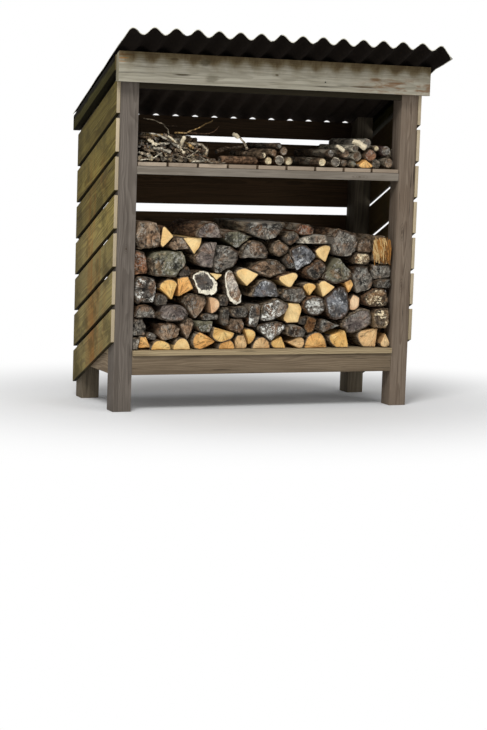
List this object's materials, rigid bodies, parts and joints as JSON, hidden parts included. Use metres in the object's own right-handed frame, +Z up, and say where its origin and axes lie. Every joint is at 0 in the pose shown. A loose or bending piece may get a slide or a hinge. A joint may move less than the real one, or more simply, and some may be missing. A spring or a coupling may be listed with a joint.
{
  "type": "log store",
  "caption": "Open-fronted timber log store with gapped board walls, a sloping corrugated roof, a floor and a shelf, stacked with split firewood.",
  "frame": {"origin": "on the ground, at the middle of the area that the roof sheet covers, which is the bottom centre of the whole store", "axes": "+Z up; -Y is the open front, +Y the back; +X is to the right of someone who looks at the front"},
  "size_m": [1.623, 0.815, 1.7594],
  "materials": {
    "roofing": "matt black bitumen fibre sheet, dusty",
    "weathered_board": "silver-grey weathered softwood with brown stain",
    "post_timber": "brown-grey weathered softwood post",
    "wall_timber": "olive-brown pressure-treated softwood board",
    "frame_timber": "brown-grey weathered softwood",
    "firewood": "split hardwood logs, dark weathered faces and some pale fresh ones, bark on",
    "branch_wood": "grey-barked branches and twigs with pale cut ends"
  },
  "bodies": {
    "root": {"back_left_post": "post_timber", "back_right_post": "post_timber", "back_rim": "frame_timber", "back_shelf_rail": "frame_timber", "back_top_beam": "wall_timber", "back_top_board": "wall_timber", "back_wall_boards": "wall_timber", "floor_boards": "frame_timber", "floor_joist_1": "frame_timber", "floor_joist_2": "frame_timber", "floor_joist_3": "frame_timber", "front_header": "weathered_board", "front_left_post": "post_timber", "front_right_post": "post_timber", "front_rim": "frame_timber", "front_shelf_rail": "frame_timber", "front_top_beam": "frame_timber", "kindling_lower": "branch_wood", "kindling_top": "branch_wood", "kindling_upper": "branch_wood", "left_rake": "wall_timber", "left_rim": "frame_timber", "left_wall_boards": "wall_timber", "log_course_1": "firewood", "log_course_2": "firewood", "log_course_3": "firewood", "log_course_4": "firewood", "log_course_5": "firewood", "log_course_6": "firewood", "right_rake": "wall_timber", "right_rim": "frame_timber", "right_wall_boards": "wall_timber", "roof_sheet": "roofing", "shelf_boards": "frame_timber", "shelf_branches_lower": "branch_wood", "shelf_branches_middle": "branch_wood", "shelf_branches_middle_upper": "branch_wood", "shelf_branches_top": "branch_wood", "shelf_branches_upper": "branch_wood", "shelf_log": "branch_wood", "shelf_split_log": "branch_wood"}
  },
  "joints": []
}
